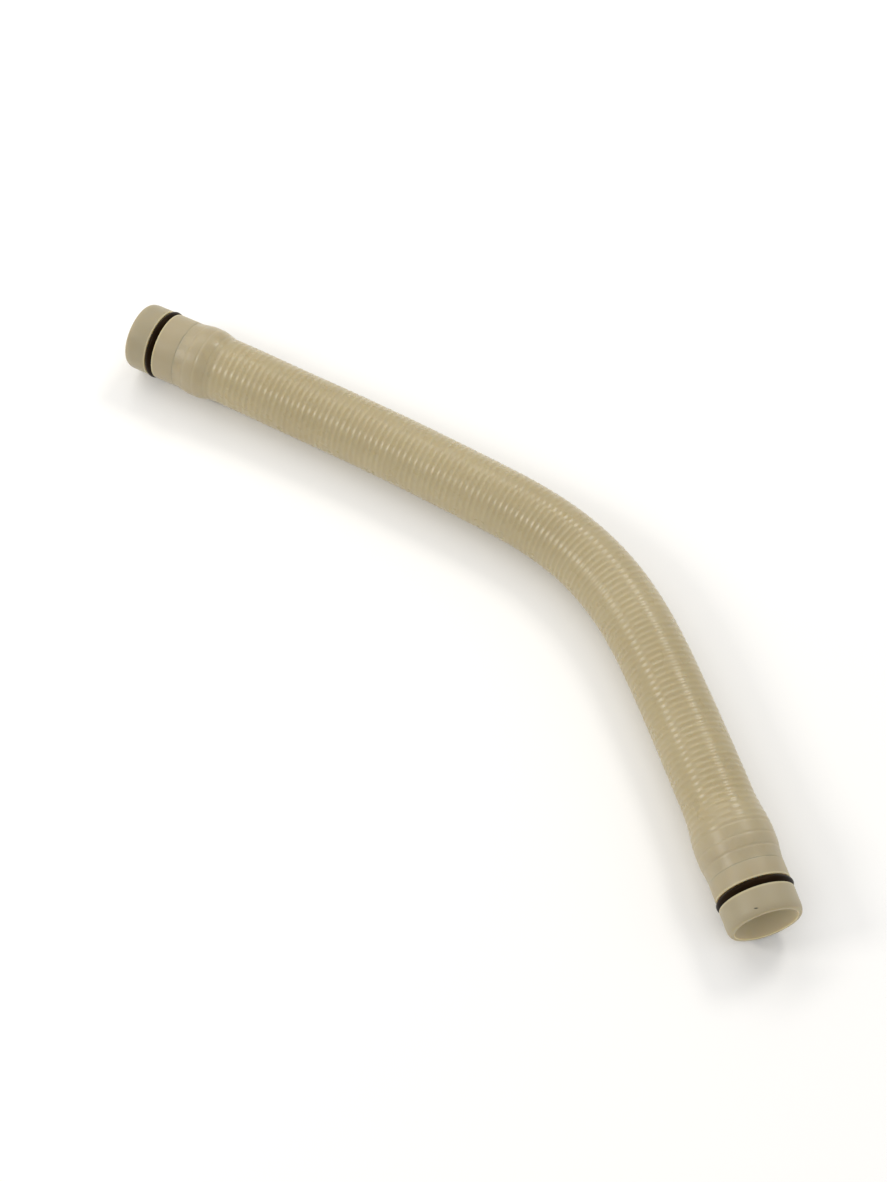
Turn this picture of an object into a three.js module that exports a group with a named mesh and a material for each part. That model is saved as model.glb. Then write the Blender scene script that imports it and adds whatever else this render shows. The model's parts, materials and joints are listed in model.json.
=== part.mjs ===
// A short ribbed dishwasher inlet hose, with a sealing spigot pushed into the cuff at each end and a
// rubber O-ring round each spigot. It lies on a level floor, bent as it keeps its shape.
// Millimetres, +Z up. The origin is on the floor under the middle of the bounding box. +X runs from
// the inlet end to the outlet end along the straight line between their mouths, and the hose bows
// out towards +Y.
import * as THREE from "three";

// All pieces
const clearance = 0.3; // left between two pieces that touch on the real hose
const sides = 16; // corners round every turned piece, one of them straight down

// O-rings
const ringCord = 2.62;
const ringCordSides = 8;
const ringProud = 0.4; // how far a ring stands out of its groove past the nose

// Spigots, from the mouth inwards
const boreDiameter = 18;
const tailWall = 2.1;
const shoulderHeight = 1.6; // step from the tail up to the neck, where the hose's cuff butts
const noseHeight = 0.05; // the nose is this much higher than the neck
const endFaceWidth = 0.8;
const edgeHeight = 1.15; // the edge between the end face and the nose is rounded
const edgeLength = 2.8;
const edgeFacets = 4;
const mouthDepth = 7; // length of the cone from the mouth's edge down to the bore
const noseLength = 8.8; // from the end face to the O-ring groove
const barbs = 2;
const barbHeight = 0.4;
const barbPitch = 4.35;
const barbRise = 0.6; // length of a barb's steep side
const barbSlope = 2.2; // length of its long side
const tailLead = 3.1; // plain end of the tail, past its last barb

// Hose
const hoseBore = 20.6;
const hoseWall = 1.75; // at the root of a rib
const ribDepth = 0.25;
const ribPitch = 2.38;
const boreFacet = 10; // length of one facet of the bore
const boreConeLength = 1; // from the cuff's bore to the hose's bore
const cuffWall = 1.7; // where the cuff is swollen over the tail
const bandDepth = 0.18; // the barbs show through the cuff as bands with shallow grooves between
const bandGroove = 0.9; // width of such a groove

// The two ends differ in the length of the neck and in the cuff. It swells from its edge over
// cuffRise, and sinks over cuffFall, the last part of which, cuffOverlap, lies among the ribs.
const inlet = {
  name: "inlet",
  neckLength: 8.8,
  cuffEdgeWall: 0.65,
  cuffRise: 6.5,
  cuffFall: 6.5,
  cuffOverlap: 2.5,
};
const outlet = {
  name: "outlet",
  neckLength: 6.1,
  cuffEdgeWall: 0.8,
  cuffRise: 8.6,
  cuffFall: 13,
  cuffOverlap: 12.2,
};

// Route, seen from above: the ribbed stretch bows a little as it leaves each cuff, and bends in an
// elbow between. Each turns smoothly over its length, in degrees, and clockwise is negative.
const ribbedLength = 276.9;
const inletBow = { length: 119, turn: -4.2 };
const elbow = { start: 111.8, length: 101.4, turn: -38.7 }; // start is from the first rib
const outletBow = { length: 85, turn: -3.7 };
const settleLength = 40; // over which the thinner hose sinks from the cuff's height to the floor
const routeStep = 1;

// Sizes that follow from those above
const tailDiameter = boreDiameter + 2 * tailWall;
const neckDiameter = tailDiameter + 2 * shoulderHeight;
const noseDiameter = neckDiameter + 2 * noseHeight;
const endFaceOuter = noseDiameter - 2 * edgeHeight;
const endFaceInner = endFaceOuter - 2 * endFaceWidth;
const ringOuter = noseDiameter + 2 * ringProud;
const grooveDiameter = ringOuter - 2 * ringCord - 2 * clearance;
const grooveWidth = ringCord + 2 * clearance;
const ringPlace = noseLength + grooveWidth / 2;
const cuffBore = tailDiameter + 2 * barbHeight + 2 * clearance;
const cuffDiameter = cuffBore + 2 * cuffWall;
const cuffEdgeDiameterOf = (end) => cuffBore + 2 * end.cuffEdgeWall;
const crestDiameter = hoseBore + 2 * hoseWall + 2 * ribDepth;
const bends = [
  { start: 0, ...inletBow },
  elbow,
  { start: ribbedLength - outletBow.length, ...outletBow },
];

// Distances from an end's mouth, along the axis
const shoulderOf = (end) => noseLength + grooveWidth + end.neckLength;
const tailEndOf = (end) => shoulderOf(end) + barbs * barbPitch + tailLead;
const cuffEdgeOf = (end) => shoulderOf(end) + clearance;
const ribStartOf = (end) => tailEndOf(end) + clearance + boreConeLength;
const totalLength = ribStartOf(inlet) + ribbedLength + ribStartOf(outlet);

const mix = THREE.MathUtils.lerp;
const ease = (t) => THREE.MathUtils.smoothstep(t, 0, 1);

// Direction of the axis, seen from above, at a distance along it from the inlet's mouth
function headingAt(along) {
  const turned = bends.map(({ start, length, turn }) => {
    return turn * ease((along - ribStartOf(inlet) - start) / length);
  });
  return THREE.MathUtils.degToRad(turned.reduce((sum, turn) => sum + turn, 0));
}

// Height of the axis: the cuffs rest on the floor at the ends, and the ribs between them
function heightAt(along) {
  const fromInlet = along - ribStartOf(inlet);
  const fromOutlet = totalLength - ribStartOf(outlet) - along;
  return mix(cuffDiameter, crestDiameter, ease(Math.min(fromInlet, fromOutlet) / settleLength)) / 2;
}

// Even points along the axis of the whole hose, starting at the inlet's mouth along +X
function walkRoute() {
  const steps = Math.round(totalLength / routeStep);
  const step = totalLength / steps;
  const place = new THREE.Vector3();
  const places = [];
  for (let i = 0; i <= steps; i++) {
    places.push(place.clone().setZ(heightAt(i * step)));
    const heading = headingAt((i + 0.5) * step);
    place.x += step * Math.cos(heading);
    place.y += step * Math.sin(heading);
  }
  return { places, step };
}

const route = walkRoute();

// The axis at a distance along it: its place, and the directions along it, across it and down
function frameAt(along) {
  const index = Math.min(Math.floor(along / route.step), route.places.length - 2);
  const before = route.places[index];
  const after = route.places[index + 1];
  const place = before.clone().lerp(after, along / route.step - index);
  place.z = heightAt(along);
  const heading = headingAt(along);
  const climb = (heightAt(along + route.step) - heightAt(along - route.step)) / (2 * route.step);
  const forward = new THREE.Vector3(Math.cos(heading), Math.sin(heading), climb).normalize();
  const across = forward.clone().cross(new THREE.Vector3(0, 0, -1)).normalize();
  const down = across.clone().cross(forward);
  return { place, across, down };
}

// Turns a closed outline about the Y axis. The outline is a list of [diameter, distance along],
// going up its outside and down its inside.
function turned(outline) {
  const points = outline.map(([diameter, along]) => new THREE.Vector2(diameter / 2, along));
  return new THREE.LatheGeometry([...points, points[0]], sides);
}

// Bends a straight piece, turned about Y, so that its axis follows the route
function alongRoute(geometry) {
  const position = geometry.getAttribute("position");
  for (let i = 0; i < position.count; i++) {
    const { place, across, down } = frameAt(position.getY(i));
    place.addScaledVector(across, position.getX(i)).addScaledVector(down, position.getZ(i));
    position.setXYZ(i, place.x, place.y, place.z);
  }
  geometry.computeVertexNormals();
  return geometry;
}

// Outlines are written from a mouth inwards. This gives one as seen from the inlet's mouth.
function fromInlet(end, outline) {
  if (end === inlet) {
    return outline;
  }
  return outline.map(([diameter, along]) => [diameter, totalLength - along]).reverse();
}

// Outside diameter of the hose over the rib crests, at a distance from the mouth of the end nearer
function hoseEnvelope(end, along) {
  const rise = ease((along - cuffEdgeOf(end)) / end.cuffRise);
  const fall = ease((ribStartOf(end) + end.cuffOverlap - along) / end.cuffFall);
  return crestDiameter + (cuffDiameter - crestDiameter) * fall
    - (cuffDiameter - cuffEdgeDiameterOf(end)) * (1 - rise);
}

// Outside of a cuff: it swells over the tail, and the barbs inside show as bands
function cuffOutside(end) {
  const outline = [[hoseEnvelope(end, cuffEdgeOf(end)), cuffEdgeOf(end)]];
  for (let i = 1; i <= barbs; i++) {
    const groove = shoulderOf(end) + i * barbPitch;
    for (const along of [groove - barbPitch / 2, groove - bandGroove / 2]) {
      outline.push([hoseEnvelope(end, along), along]);
    }
    outline.push([hoseEnvelope(end, groove) - 2 * bandDepth, groove]);
    outline.push([hoseEnvelope(end, groove + bandGroove / 2), groove + bandGroove / 2]);
  }
  return outline;
}

// Outside of the ribbed stretch: one crest to each pitch, with a root on both sides
function ribsOutside() {
  const ribs = Math.round(ribbedLength / ribPitch);
  const pitch = ribbedLength / ribs;
  const envelopeAt = (along) => {
    const nearInlet = along < totalLength / 2;
    return nearInlet ? hoseEnvelope(inlet, along) : hoseEnvelope(outlet, totalLength - along);
  };
  const outline = [];
  for (let i = 0; i <= 2 * ribs; i++) {
    const along = ribStartOf(inlet) + (i * pitch) / 2;
    const depth = i % 2 === 0 ? ribDepth : 0;
    outline.push([envelopeAt(along) - 2 * depth, along]);
  }
  return outline;
}

function hoseGeometry() {
  const facets = Math.ceil(ribbedLength / boreFacet);
  const bore = [];
  for (let i = 0; i <= facets; i++) {
    bore.push([hoseBore, ribStartOf(inlet) + (ribbedLength * i) / facets]);
  }
  const cuffInside = (end) => [
    [cuffBore, cuffEdgeOf(end)],
    [cuffBore, ribStartOf(end) - boreConeLength],
  ];
  const outside = [
    ...fromInlet(inlet, cuffOutside(inlet)),
    ...ribsOutside(),
    ...fromInlet(outlet, cuffOutside(outlet)),
  ];
  const inside = [
    ...fromInlet(inlet, cuffInside(inlet)),
    ...bore,
    ...fromInlet(outlet, cuffInside(outlet)),
  ];
  return alongRoute(turned([...outside, ...inside.reverse()]));
}

// Ends of a barb's sides, and the tail's plain end
function tailOutside(end) {
  const outline = [[tailDiameter, shoulderOf(end)]];
  for (let i = 0; i < barbs; i++) {
    const root = shoulderOf(end) + i * barbPitch + (barbPitch - barbRise - barbSlope) / 2;
    outline.push([tailDiameter, root]);
    outline.push([tailDiameter + 2 * barbHeight, root + barbRise]);
    outline.push([tailDiameter, root + barbRise + barbSlope]);
  }
  outline.push([tailDiameter, tailEndOf(end)]);
  return outline;
}

// Rounded edge, from the end face out to the nose
function edgeOutside() {
  const outline = [];
  for (let i = 0; i <= edgeFacets; i++) {
    const angle = (i / edgeFacets) * (Math.PI / 2);
    outline.push([
      endFaceOuter + 2 * edgeHeight * Math.sin(angle),
      edgeLength * (1 - Math.cos(angle)),
    ]);
  }
  return outline;
}

function fittingGeometry(end) {
  const outside = [
    [endFaceInner, 0],
    ...edgeOutside(),
    [noseDiameter, noseLength],
    [grooveDiameter, noseLength],
    [grooveDiameter, noseLength + grooveWidth],
    [neckDiameter, noseLength + grooveWidth],
    [neckDiameter, shoulderOf(end)],
    ...tailOutside(end),
  ];
  const inside = [
    [boreDiameter, tailEndOf(end)],
    [boreDiameter, mouthDepth],
  ];
  return alongRoute(turned(fromInlet(end, [...outside, ...inside])));
}

function ringGeometry(end) {
  const outline = [];
  for (let i = 0; i < ringCordSides; i++) {
    const angle = (i / ringCordSides) * 2 * Math.PI - Math.PI / 2;
    const diameter = ringOuter - ringCord + ringCord * Math.cos(angle);
    outline.push([diameter, ringPlace + (ringCord / 2) * Math.sin(angle)]);
  }
  return alongRoute(turned(fromInlet(end, outline)));
}

const hosePlastic = { color: 0xcdbf9b, roughness: 0.42, metalness: 0 };
const fittingPlastic = { color: 0xc4b899, roughness: 0.35, metalness: 0 };
const blackRubber = { color: 0x1c1512, roughness: 0.45, metalness: 0 };

function piece(name, geometry, finish) {
  const mesh = new THREE.Mesh(geometry, new THREE.MeshStandardMaterial(finish));
  mesh.name = name;
  return mesh;
}

const hose = new THREE.Group();
hose.add(piece("hose", hoseGeometry(), hosePlastic));
for (const end of [inlet, outlet]) {
  hose.add(piece(`${end.name}_fitting`, fittingGeometry(end), fittingPlastic));
  hose.add(piece(`${end.name}_o_ring`, ringGeometry(end), blackRubber));
}

// Turned so that the line between the mouths is along X, and centred on the origin
const mouthToMouth = route.places.at(-1).clone().sub(route.places[0]);
hose.rotation.z = -Math.atan2(mouthToMouth.y, mouthToMouth.x);
hose.updateMatrixWorld(true);
const middle = new THREE.Box3().setFromObject(hose, true).getCenter(new THREE.Vector3());
hose.position.set(-middle.x, -middle.y, 0);

export default hose;
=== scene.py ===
"""A ribbed dishwasher inlet hose, lying bent on a pale floor.

One moulded tube of milky, slightly yellowed plastic, with a sealing spigot in the swollen cuff at
each end and a black rubber O-ring round each spigot. Sizes are in millimetres where they describe a
profile, and become metres when a mesh is made.
"""

import json
import math

import bpy
import numpy as np
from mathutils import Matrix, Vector


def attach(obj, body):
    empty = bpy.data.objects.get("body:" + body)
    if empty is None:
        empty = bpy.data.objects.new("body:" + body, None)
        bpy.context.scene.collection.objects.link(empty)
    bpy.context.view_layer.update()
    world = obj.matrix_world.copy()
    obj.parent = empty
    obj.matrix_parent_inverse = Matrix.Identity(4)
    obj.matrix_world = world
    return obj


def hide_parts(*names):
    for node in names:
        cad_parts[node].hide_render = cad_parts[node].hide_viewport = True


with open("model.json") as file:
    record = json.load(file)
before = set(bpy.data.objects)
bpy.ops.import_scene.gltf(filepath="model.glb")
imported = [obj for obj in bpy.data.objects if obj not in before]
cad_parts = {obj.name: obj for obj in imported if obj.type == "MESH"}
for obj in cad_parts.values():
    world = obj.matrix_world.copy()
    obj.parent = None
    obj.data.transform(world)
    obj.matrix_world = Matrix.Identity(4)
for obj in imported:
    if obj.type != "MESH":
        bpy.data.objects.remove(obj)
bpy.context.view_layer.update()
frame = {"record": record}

MM = 0.001

# Camera, as the photograph was taken
PHOTO_HEIGHT = 1182
SENSOR = 36.0
FOCAL_PIXELS = 2000
CAMERA_AZIMUTH = 47.56
CAMERA_ELEVATION = 58.94
CAMERA_DISTANCE = 0.7166
CAMERA_TARGET = Vector((-0.00656, -0.01444, 0.0))

# O-rings
RING_CORD = 2.62
RING_PROUD = 0.4
RING_FLOOR_GAP = 0.05  # between the ring and the floor of its groove

# Spigots, from the mouth inwards
BORE_DIAMETER = 18.0
TAIL_WALL = 2.1
SHOULDER_HEIGHT = 1.6
NOSE_STEP = 0.05
TAIL_DIAMETER = BORE_DIAMETER + 2 * TAIL_WALL
NECK_DIAMETER = TAIL_DIAMETER + 2 * SHOULDER_HEIGHT
NOSE_DIAMETER = NECK_DIAMETER + 2 * NOSE_STEP
END_FACE_WIDTH = 0.8
EDGE_HEIGHT = 1.15
EDGE_LENGTH = 2.8
MOUTH_DEPTH = 7.0
BORE_START = 3.0  # straight bore between the mouth's cone and the first point of the outline
NOSE_LENGTH = 8.8
GROOVE_SLACK = 0.6
GROOVE_WIDTH = RING_CORD + GROOVE_SLACK
GROOVE_LIP = 0.22  # the groove's lips lean in over the ring's shoulders
BARBS = 2
BARB_HEIGHT = 0.4
BARB_PITCH = 4.35
BARB_RISE = 0.6
BARB_SLOPE = 2.2
TAIL_LEAD = 3.1
MOUTH_ROUNDING = 1.5
FACE_ROUNDING = 0.25
LIP_ROUNDING = 0.3
GROOVE_ROUNDING = 0.2
SHOULDER_ROUNDING = 0.2
FINE_ROUNDING = 0.1
TAIL_END_ROUNDING = 0.3
SPECK = (0.15642, -0.03094, 0.02549)  # place of a small dark speck on the outlet's nose, in metres
SPECK_REACH = (0.0011, 0.0003, 0.0005)

# Hose
CLEARANCE = 0.3
HOSE_BORE = 20.6
HOSE_WALL = 1.75
CREST_HEIGHT = 0.25
CREST_DIAMETER = HOSE_BORE + 2 * HOSE_WALL + 2 * CREST_HEIGHT
RIB_DEPTH = 0.13  # shallower than in the solids, set from the glints in the photograph
RIB_PITCH = 2.38
RIB_SHARPNESS = 1.5
RIB_UNEVENNESS = 0.3
RIB_SEED = 11
POINTS_PER_RIB = 9
CUFF_WALL = 1.7
CUFF_BORE = TAIL_DIAMETER + 2 * BARB_HEIGHT + 2 * CLEARANCE
CUFF_DIAMETER = CUFF_BORE + 2 * CUFF_WALL
CUFF_STEP = 0.3
CUFF_EDGE_GAP = 0.015  # between the spigot's shoulder and the cuff's edge
CUFF_EDGE_WALL = 0.85
CUFF_EDGE_CHAMFER = 0.15
CUFF_EDGE_PROFILE = ((0.05, 0.0), (0.01, 0.02), (0.0, 0.06))  # each point's drop, and its run inwards
CUFF_EDGE_RUN = 0.4
CUFF_TO_RIBS = 0.2
BAND_DEPTH = 0.1
BAND_REACH = 0.35
BORE_CONE = 1.0

# The ends differ in the neck's length and in the cuff: it rises from its edge over one length and
# falls over another, which ends an overlap past the first rib
INLET = {"name": "inlet", "neck": 8.8, "rise": 6.5, "fall": 6.5, "overlap": 2.5}
OUTLET = {"name": "outlet", "neck": 6.1, "rise": 8.6, "fall": 13.0, "overlap": 12.2}

# Route of the axis: each bend starts at a distance from the first rib and turns over its length
RIBBED_LENGTH = 276.9
BENDS = (
    {"start": 0, "length": 119, "turn": -4.2},
    {"start": 111.8, "length": 101.4, "turn": -38.7},
    {"start": RIBBED_LENGTH - 85, "length": 85, "turn": -3.7},
)
SETTLE_LENGTH = 40.0
ROUTE_STEP = 1.0
CORD_POINTS = 61

# Where the plastics change, in millimetres: the spigot's bore is brightened with painted light in
# place of light let through its translucent wall, its mouth face and groove lips carry thin painted
# highlights, and the hose is greyer and duller where a cuff stretches it, fading between two distances
# from the mouth
INSIDE_RADIUS = 10.85
OUTSIDE_RADIUS = 11.1
# reach and offset of the painted highlights on the mouth's face and the groove's lips
EDGE_HIGHLIGHT_REACH = 0.5
EDGE_HIGHLIGHT_OFFSET = 0.1
NOSE_FADE = (NOSE_LENGTH - 0.2, NOSE_LENGTH + 0.6)
STRETCHED_FADE = (24.0, 42.0)
DULLED_FADE = (28.0, 36.0)
DULLING = 0.08

# Floor and lights, in metres and watts: each softbox has a direction as seen in the photograph, a
# distance, a size and a power
FLOOR_HALF = 4.0
SKY_STRENGTH = 0.71
LIGHT_COLOUR = (1.0, 0.96, 0.88)
SOFTBOXES = (
    ("left_softbox", (-0.792, -0.092, 0.600), 1.4, (0.34, 0.34), 4.8),
    ("back_softbox", (0.385, 0.516, 0.764), 1.4, (0.34, 0.34), 4.2),
    ("middle_panel", (-0.36, 0.525, 0.772), 1.5, (1.3, 0.25), 4.5),
)


def shoulder_of(end):
    return NOSE_LENGTH + GROOVE_WIDTH + end["neck"]


def tail_end_of(end):
    return shoulder_of(end) + BARBS * BARB_PITCH + TAIL_LEAD


def cuff_edge_of(end):
    return shoulder_of(end) + CUFF_EDGE_GAP


def rib_start_of(end):
    return tail_end_of(end) + CLEARANCE + BORE_CONE


TOTAL_LENGTH = rib_start_of(INLET) + RIBBED_LENGTH + rib_start_of(OUTLET)


def ease(t):
    t = np.clip(t, 0.0, 1.0)
    return t * t * (3 - 2 * t)


def mix(a, b, t):
    return a + (b - a) * t


def make_camera():
    data = bpy.data.cameras.new("photo_camera")
    data.sensor_width = SENSOR
    data.lens = FOCAL_PIXELS * SENSOR / PHOTO_HEIGHT
    data.clip_start = 0.01
    data.clip_end = 20.0
    camera = bpy.data.objects.new("photo_camera", data)
    azimuth = math.radians(CAMERA_AZIMUTH)
    elevation = math.radians(CAMERA_ELEVATION)
    back = Vector((
        math.sin(azimuth) * math.cos(elevation),
        -math.cos(azimuth) * math.cos(elevation),
        math.sin(elevation),
    ))
    camera.location = CAMERA_TARGET + back * CAMERA_DISTANCE
    camera.rotation_euler = (-back).to_track_quat("-Z", "Y").to_euler()
    bpy.context.scene.collection.objects.link(camera)
    bpy.context.scene.camera = camera


def heading_at(along):
    turned = np.zeros_like(along)
    for bend in BENDS:
        turned += bend["turn"] * ease((along - rib_start_of(INLET) - bend["start"]) / bend["length"])
    return np.radians(turned)


def height_at(along):
    from_end = np.minimum(along - rib_start_of(INLET), TOTAL_LENGTH - rib_start_of(OUTLET) - along)
    return mix(CUFF_DIAMETER, CREST_DIAMETER, ease(from_end / SETTLE_LENGTH)) / 2


def walk_route():
    """Even points of the axis in millimetres, placed by the inlet's mount as the frame has it."""
    inlet_face = next(m for m in frame["record"]["mounts"] if m["name"] == "inlet_face")
    start = np.array(inlet_face["pos_m"][:2]) / MM
    first_heading = math.atan2(-inlet_face["axis"][1], -inlet_face["axis"][0])
    steps = round(TOTAL_LENGTH / ROUTE_STEP)
    along = np.linspace(0, TOTAL_LENGTH, steps + 1)
    heading = first_heading + heading_at((along[1:] + along[:-1]) / 2)
    run = np.diff(along)
    x = start[0] + np.concatenate([[0], np.cumsum(np.cos(heading) * run)])
    y = start[1] + np.concatenate([[0], np.cumsum(np.sin(heading) * run)])
    return along, x, y, first_heading


ROUTE = walk_route()


def frames_at(along):
    """Places on the axis in millimetres, and the unit directions across it and down from it."""
    along = np.asarray(along, float)
    route_along, x, y, first_heading = ROUTE
    place = np.stack([
        np.interp(along, route_along, x),
        np.interp(along, route_along, y),
        height_at(along),
    ], axis=1)
    heading = first_heading + heading_at(along)
    climb = (height_at(along + ROUTE_STEP) - height_at(along - ROUTE_STEP)) / (2 * ROUTE_STEP)
    forward = np.stack([np.cos(heading), np.sin(heading), climb], axis=1)
    forward /= np.linalg.norm(forward, axis=1)[:, None]
    across = np.cross(forward, [0, 0, -1.0])
    across /= np.linalg.norm(across, axis=1)[:, None]
    down = np.cross(across, forward)
    return place, across, down


def turned_piece(name, outline, segments, sharp_degrees=45):
    """A closed outline of (radius, distance along), turned about the axis and bent along the route."""
    outline = np.array(outline, float)
    radius, along = outline[:, 0], outline[:, 1]
    place, across, down = frames_at(along)
    angle = np.linspace(0, 2 * math.pi, segments, endpoint=False)
    points = (
        place[:, None, :]
        + (radius[:, None] * np.sin(angle))[:, :, None] * across[:, None, :]
        + (radius[:, None] * np.cos(angle))[:, :, None] * down[:, None, :]
    )
    rings = len(outline)
    ring = np.arange(rings)[:, None] * segments
    next_ring = (np.arange(1, rings + 1) % rings)[:, None] * segments
    corner = np.arange(segments)[None, :]
    next_corner = (np.arange(1, segments + 1) % segments)[None, :]
    quads = np.stack([
        ring + corner, ring + next_corner, next_ring + next_corner, next_ring + corner,
    ], axis=2).reshape(-1, 4)

    mesh = bpy.data.meshes.new(name)
    mesh.vertices.add(rings * segments)
    mesh.vertices.foreach_set("co", (points.reshape(-1, 3) * MM).astype(np.float32).ravel())
    mesh.loops.add(quads.size)
    mesh.loops.foreach_set("vertex_index", quads.ravel().astype(np.int32))
    mesh.polygons.add(len(quads))
    mesh.polygons.foreach_set("loop_start", np.arange(0, quads.size, 4, dtype=np.int32))
    mesh.update(calc_edges=True)
    mesh.validate()
    mesh.shade_smooth()
    mesh.set_sharp_from_angle(angle=math.radians(sharp_degrees))
    spreads = {"from_mouth": np.minimum(along, TOTAL_LENGTH - along), "from_axis": radius}
    for spread_name, values in spreads.items():
        spread = mesh.attributes.new(spread_name, "FLOAT", "POINT")
        spread.data.foreach_set("value", np.repeat(values, segments).astype(np.float32))
    piece = bpy.data.objects.new(name, mesh)
    bpy.context.scene.collection.objects.link(piece)
    return piece


def from_inlet(end, outline):
    if end is INLET:
        return outline
    return [(radius, TOTAL_LENGTH - along) for radius, along in reversed(outline)]


def rounded(points, radii, steps=4):
    """The open outline through points, with each inner corner rounded by its radius."""
    out = [tuple(points[0])]
    for before, corner, after, radius in zip(points, points[1:], points[2:], radii):
        corner = np.array(corner, float)
        a = np.array(before, float) - corner
        b = np.array(after, float) - corner
        reach_a, reach_b = np.linalg.norm(a), np.linalg.norm(b)
        reach = min(radius, reach_a * 0.45, reach_b * 0.45)
        a, b = a / reach_a, b / reach_b
        for i in range(steps + 1):
            t = i / steps
            point = corner + a * reach * (1 - t) ** 2 + b * reach * t ** 2
            out.append(tuple(point))
    out.append(tuple(points[-1]))
    return out


def hose_envelope(end, along):
    rise = ease((along - cuff_edge_of(end)) / end["rise"])
    fall = ease((rib_start_of(end) + end["overlap"] - along) / end["fall"])
    return (
        CREST_DIAMETER
        + (CUFF_DIAMETER - CREST_DIAMETER) * fall
        - (CUFF_DIAMETER - CUFF_BORE - 2 * CUFF_EDGE_WALL) * (1 - rise)
    ) / 2


def cuff_outside(end):
    """The cuff swells over the tail, and the barbs inside show as shallow bands."""
    edge = cuff_edge_of(end)
    along = np.arange(edge + CUFF_EDGE_RUN, rib_start_of(end) - CUFF_TO_RIBS, CUFF_STEP)
    radius = hose_envelope(end, along)
    for i in range(1, BARBS + 1):
        groove = shoulder_of(end) + i * BARB_PITCH
        radius = radius - BAND_DEPTH * np.exp(-(((along - groove) / BAND_REACH) ** 2))
    start = hose_envelope(end, edge)
    lip = [(start - drop, edge + run) for drop, run in CUFF_EDGE_PROFILE]
    return lip + list(zip(radius, along))


def ribs_outside():
    ribs = round(RIBBED_LENGTH / RIB_PITCH)
    pitch = RIBBED_LENGTH / ribs
    start = rib_start_of(INLET)
    along = start + np.arange(ribs * POINTS_PER_RIB + 1) * pitch / POINTS_PER_RIB
    phase = (along - start) / pitch
    uneven = 1 - RIB_UNEVENNESS * np.random.default_rng(RIB_SEED).random(ribs + 1)
    crest = ((1 - np.cos(phase * 2 * math.pi)) / 2) ** RIB_SHARPNESS * uneven[phase.astype(int)]
    near_inlet = along < TOTAL_LENGTH / 2
    envelope = np.where(
        near_inlet, hose_envelope(INLET, along), hose_envelope(OUTLET, TOTAL_LENGTH - along)
    )
    return list(zip(envelope - RIB_DEPTH * (1 - crest), along))


def make_hose():
    facets = 90
    bore = [
        (HOSE_BORE / 2, rib_start_of(INLET) + RIBBED_LENGTH * i / facets) for i in range(facets + 1)
    ]

    def cuff_inside(end):
        edge = cuff_edge_of(end)
        return [
            (CUFF_BORE / 2 + CUFF_EDGE_CHAMFER, edge),
            (CUFF_BORE / 2, edge + CUFF_EDGE_CHAMFER),
            (CUFF_BORE / 2, rib_start_of(end) - BORE_CONE),
        ]

    def between_cuffs(cuff, middle):
        return from_inlet(INLET, cuff(INLET)) + middle + from_inlet(OUTLET, cuff(OUTLET))

    outside = between_cuffs(cuff_outside, ribs_outside())
    inside = between_cuffs(cuff_inside, bore)
    return turned_piece("ribbed_hose", outside + inside[::-1], segments=72)


def tail_outside(end):
    outline = [(TAIL_DIAMETER / 2, shoulder_of(end))]
    for i in range(BARBS):
        root = shoulder_of(end) + i * BARB_PITCH + (BARB_PITCH - BARB_RISE - BARB_SLOPE) / 2
        outline += [
            (TAIL_DIAMETER / 2, root),
            (TAIL_DIAMETER / 2 + BARB_HEIGHT, root + BARB_RISE),
            (TAIL_DIAMETER / 2, root + BARB_RISE + BARB_SLOPE),
        ]
    return outline + [(TAIL_DIAMETER / 2, tail_end_of(end))]


def edge_outside():
    """Rounded edge, from the end face out to the nose."""
    angle = np.linspace(0, math.pi / 2, 9)
    radius = NOSE_DIAMETER / 2 - EDGE_HEIGHT * (1 - np.sin(angle))
    return list(zip(radius, EDGE_LENGTH * (1 - np.cos(angle))))


def make_fitting(end):
    """The open outline of a spigot starts and ends in its bore; each corner comes with its rounding."""
    face_inner = NOSE_DIAMETER / 2 - EDGE_HEIGHT - END_FACE_WIDTH
    groove = NOSE_DIAMETER / 2 + RING_PROUD - RING_CORD - RING_FLOOR_GAP
    corners = [
        ((BORE_DIAMETER / 2, MOUTH_DEPTH), MOUTH_ROUNDING),
        ((face_inner, 0), FACE_ROUNDING),
        *((corner, FINE_ROUNDING) for corner in edge_outside()),
        ((NOSE_DIAMETER / 2, NOSE_LENGTH + GROOVE_LIP), LIP_ROUNDING),
        ((groove, NOSE_LENGTH), GROOVE_ROUNDING),
        ((groove, NOSE_LENGTH + GROOVE_WIDTH), GROOVE_ROUNDING),
        ((NECK_DIAMETER / 2, NOSE_LENGTH + GROOVE_WIDTH - GROOVE_LIP), LIP_ROUNDING),
        ((NECK_DIAMETER / 2, shoulder_of(end)), SHOULDER_ROUNDING),
        *((corner, FINE_ROUNDING) for corner in tail_outside(end)[:-1]),
        (tail_outside(end)[-1], TAIL_END_ROUNDING),
    ]
    first = (BORE_DIAMETER / 2, MOUTH_DEPTH + BORE_START)
    last = (BORE_DIAMETER / 2, tail_end_of(end))
    points = [first, *(corner for corner, _ in corners), last]
    outline = from_inlet(end, rounded(points, [radius for _, radius in corners]))
    return turned_piece(end["name"] + "_spigot", outline, segments=96, sharp_degrees=60)


def make_ring(end):
    centre = (NOSE_DIAMETER + 2 * RING_PROUD - RING_CORD) / 2
    place = NOSE_LENGTH + GROOVE_WIDTH / 2
    steps = 28
    outline = []
    for i in range(steps):
        angle = 2 * math.pi * i / steps - math.pi / 2
        outline.append((
            centre + RING_CORD / 2 * math.cos(angle),
            place + RING_CORD / 2 * math.sin(angle),
        ))
    return turned_piece(end["name"] + "_seal_ring", from_inlet(end, outline), segments=128)


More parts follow.
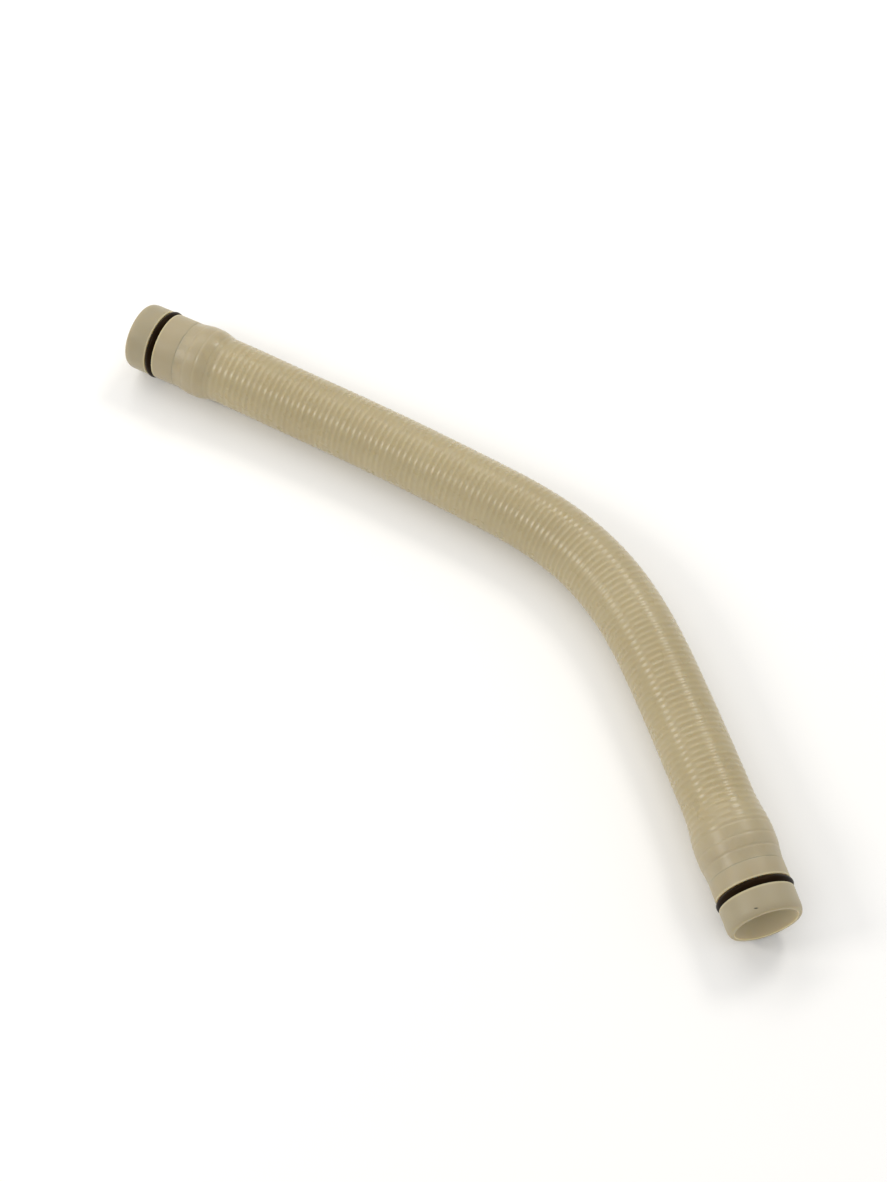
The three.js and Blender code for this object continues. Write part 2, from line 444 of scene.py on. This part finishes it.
class Nodes:
    """Short helper round one material's node tree."""

    def __init__(self, name):
        self.material = bpy.data.materials.new(name)
        self.material.use_nodes = True
        self.tree = self.material.node_tree
        self.shader = self.tree.nodes["Principled BSDF"]

    def add(self, kind, inputs=(), **settings):
        node = self.tree.nodes.new(kind)
        for key, value in settings.items():
            setattr(node, key, value)
        for key, value in dict(inputs).items():
            if isinstance(value, bpy.types.NodeSocket):
                self.tree.links.new(value, node.inputs[key])
            else:
                node.inputs[key].default_value = value
        return node

    def set(self, key, value):
        if isinstance(value, bpy.types.NodeSocket):
            self.tree.links.new(value, self.shader.inputs[key])
        else:
            self.shader.inputs[key].default_value = value

    def calculate(self, operation, *values):
        return self.add("ShaderNodeMath", enumerate(values), operation=operation).outputs["Value"]

    def place(self):
        return self.add("ShaderNodeTexCoord").outputs["Object"]

    def attribute(self, name):
        return self.add("ShaderNodeAttribute", attribute_name=name).outputs["Fac"]

    def spot(self, centre, turn, reach):
        """Full in the middle of a small ellipsoid, and fading to nothing at its surface."""
        inputs = {
            "Vector": self.place(), "Location": centre, "Rotation": (0, 0, turn), "Scale": reach,
        }
        local = self.add("ShaderNodeMapping", inputs, vector_type="TEXTURE").outputs["Vector"]
        length = self.add("ShaderNodeVectorMath", {0: local}, operation="LENGTH").outputs["Value"]
        return self.remap(length, 0.0, 1.0, 1.0, 0.4)

    def band(self, value, centre, half):
        """Full at a value, and nothing further than half from it."""
        off = self.calculate("SUBTRACT", value, centre)
        away = self.calculate("ABSOLUTE", off)
        return self.remap(away, 1.0, 0.0, half / 2, half)

    def noise(self, scale, detail=3.0, roughness=0.5):
        inputs = {"Vector": self.place(), "Scale": scale, "Detail": detail, "Roughness": roughness}
        return self.add("ShaderNodeTexNoise", inputs).outputs["Fac"]

    def remap(self, value, low, high, from_low=0.0, from_high=1.0):
        inputs = {
            "Value": value, "From Min": from_low, "From Max": from_high, "To Min": low, "To Max": high,
        }
        return self.add("ShaderNodeMapRange", inputs).outputs["Result"]

    def blend(self, factor, a, b, mode="MIX"):
        node = self.add("ShaderNodeMix", data_type="RGBA", blend_type=mode)
        self.tree.links.new(factor, node.inputs["Factor"])
        for socket, colour in zip(("A", "B"), (a, b)):
            target = next(s for s in node.inputs if s.name == socket and s.type == "RGBA")
            if isinstance(colour, bpy.types.NodeSocket):
                self.tree.links.new(colour, target)
            else:
                target.default_value = (*colour, 1.0)
        return next(s for s in node.outputs if s.type == "RGBA")


def milky_plastic(name, tint, deep, roughness, depth):
    """Natural plastic: light sinks a little way in, and the tone drifts slowly along the piece."""
    nodes = Nodes(name)
    drift = nodes.remap(nodes.noise(scale=28, detail=2), 0, 1, 0.35, 0.65)
    nodes.set("Base Color", nodes.blend(drift, tint, deep))
    handling = nodes.noise(scale=160, detail=4)
    nodes.set("Roughness", nodes.remap(handling, roughness - 0.03, roughness + 0.05, 0.3, 0.7))
    nodes.set("Subsurface Weight", 1.0)
    nodes.set("Subsurface Radius", (1.0, 0.8, 0.5))
    nodes.set("Subsurface Scale", depth)
    nodes.set("IOR", 1.46)
    grain = nodes.noise(scale=700)
    bump = nodes.add("ShaderNodeBump", {"Height": grain, "Strength": 0.02, "Distance": 0.0001})
    nodes.set("Normal", bump.outputs["Normal"])
    return nodes


def hose_plastic_of(name):
    """The hose's soft plastic: duller and greyer where it is stretched over a spigot."""
    nodes = milky_plastic(
        name, tint=(0.44, 0.372, 0.222), deep=(0.415, 0.347, 0.202), roughness=0.28, depth=0.0022
    )
    base = nodes.shader.inputs["Base Color"].links[0].from_socket
    stretched = nodes.remap(nodes.attribute("from_mouth"), 1.0, 0.0, *STRETCHED_FADE)
    nodes.set("Base Color", nodes.blend(stretched, base, (0.92, 0.93, 1.02), mode="MULTIPLY"))
    shine = nodes.shader.inputs["Roughness"].links[0].from_socket
    dulled = nodes.remap(nodes.attribute("from_mouth"), DULLING, 0.0, *DULLED_FADE)
    nodes.set("Roughness", nodes.calculate("ADD", shine, dulled))
    return nodes.material


def spigot_plastic(name):
    """The spigots' harder plastic: greyer noses, a bore brightened with painted light, painted
    highlights on the mouth's face and the groove's lips, and the outlet's dark speck.
    """
    nodes = milky_plastic(
        name, tint=(0.405, 0.345, 0.225), deep=(0.38, 0.32, 0.205), roughness=0.46, depth=0.0025
    )
    base = nodes.shader.inputs["Base Color"].links[0].from_socket
    nose = nodes.remap(nodes.attribute("from_mouth"), 1.0, 0.0, *NOSE_FADE)
    base = nodes.blend(nose, base, (0.92, 0.94, 0.96), mode="MULTIPLY")
    # painted light: the bore and the mouth's inner cone are brightened, in place of light let through
    # the translucent wall
    inside = nodes.remap(nodes.attribute("from_axis"), 1.0, 0.0, INSIDE_RADIUS, OUTSIDE_RADIUS)
    base = nodes.blend(inside, base, (1.62, 1.64, 1.65), mode="MULTIPLY")
    # painted highlights: thin pale bands on the mouth's end face and on the groove's two lips, where
    # light glints on the rounded edges
    painted_edge_highlights = (
        (0.0, 1.05),
        (NOSE_LENGTH - EDGE_HIGHLIGHT_OFFSET, 1.3),
        (NOSE_LENGTH + GROOVE_WIDTH + EDGE_HIGHLIGHT_OFFSET, 1.3),
    )
    for edge, gain in painted_edge_highlights:
        pale = nodes.band(nodes.attribute("from_mouth"), edge, EDGE_HIGHLIGHT_REACH)
        base = nodes.blend(pale, base, (gain, gain, 0.95 * gain), mode="MULTIPLY")
    speck = nodes.spot(SPECK, math.radians(CAMERA_AZIMUTH), SPECK_REACH)
    nodes.set("Base Color", nodes.blend(speck, base, (0.02, 0.018, 0.012)))
    return nodes.material


def rubber(name):
    nodes = Nodes(name)
    bloom = nodes.remap(nodes.noise(scale=120, detail=4), 0, 1, 0.35, 0.7)
    nodes.set("Base Color", nodes.blend(bloom, (0.007, 0.003, 0.001), (0.013, 0.006, 0.002)))
    nodes.set("Roughness", nodes.remap(nodes.noise(scale=300), 0.3, 0.38, 0.3, 0.7))
    nodes.set("Specular IOR Level", 0.06)
    nodes.set("Specular Tint", (1.0, 0.75, 0.5, 1.0))
    grain = nodes.noise(scale=1500)
    bump = nodes.add("ShaderNodeBump", {"Height": grain, "Strength": 0.1, "Distance": 0.0001})
    nodes.set("Normal", bump.outputs["Normal"])
    return nodes.material


def floor_paper():
    nodes = Nodes("pale_floor")
    nodes.set("Base Color", (0.94, 0.94, 0.94, 1.0))
    nodes.set("Roughness", 0.85)
    nodes.set("Specular IOR Level", 0.2)
    return nodes.material


def make_floor():
    corners = [(x * FLOOR_HALF, y * FLOOR_HALF, 0) for x, y in ((-1, -1), (1, -1), (1, 1), (-1, 1))]
    mesh = bpy.data.meshes.new("floor")
    mesh.from_pydata(corners, [], [(0, 1, 2, 3)])
    floor = bpy.data.objects.new("floor", mesh)
    floor.data.materials.append(floor_paper())
    bpy.context.scene.collection.objects.link(floor)


def photo_direction(x, y, z):
    """A direction given as seen in the photograph: x right, y away from the camera, z up."""
    turn = math.radians(CAMERA_AZIMUTH)
    return Vector((
        x * math.cos(turn) - y * math.sin(turn),
        x * math.sin(turn) + y * math.cos(turn),
        z,
    )).normalized()


def make_softbox(name, direction, distance, size, power):
    data = bpy.data.lights.new(name, "AREA")
    data.shape = "RECTANGLE"
    data.size, data.size_y = size
    data.energy = power
    data.color = LIGHT_COLOUR
    light = bpy.data.objects.new(name, data)
    light.location = direction * distance
    light.rotation_euler = (-direction).to_track_quat("-Z", "Y").to_euler()
    bpy.context.scene.collection.objects.link(light)


def make_light():
    world = bpy.data.worlds.new("studio")
    bpy.context.scene.world = world
    world.use_nodes = True
    background = world.node_tree.nodes["Background"]
    background.inputs["Color"].default_value = (1.0, 1.0, 1.0, 1.0)
    background.inputs["Strength"].default_value = SKY_STRENGTH
    for name, direction, distance, size, power in SOFTBOXES:
        make_softbox(name, photo_direction(*direction), distance, size, power)


make_camera()
hose = make_hose()
spigots = {end["name"]: make_fitting(end) for end in (INLET, OUTLET)}
rings = {end["name"]: make_ring(end) for end in (INLET, OUTLET)}

hose_plastic = hose_plastic_of("hose_plastic")
fitting_plastic = spigot_plastic("fitting_plastic")
black_rubber = rubber("black_rubber")

hose.data.materials.append(hose_plastic)
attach(hose, "root")
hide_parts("hose")
for side in ("inlet", "outlet"):
    spigots[side].data.materials.append(fitting_plastic)
    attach(spigots[side], "root")
    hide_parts(side + "_fitting")
    rings[side].data.materials.append(black_rubber)
    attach(rings[side], "root")
    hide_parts(side + "_o_ring")

hose_from, hose_to = cuff_edge_of(INLET), TOTAL_LENGTH - cuff_edge_of(OUTLET)
axis_points = frames_at(np.linspace(hose_from, hose_to, CORD_POINTS))[0] * MM

make_floor()
make_light()
bpy.context.scene.view_settings.view_transform = "Standard"
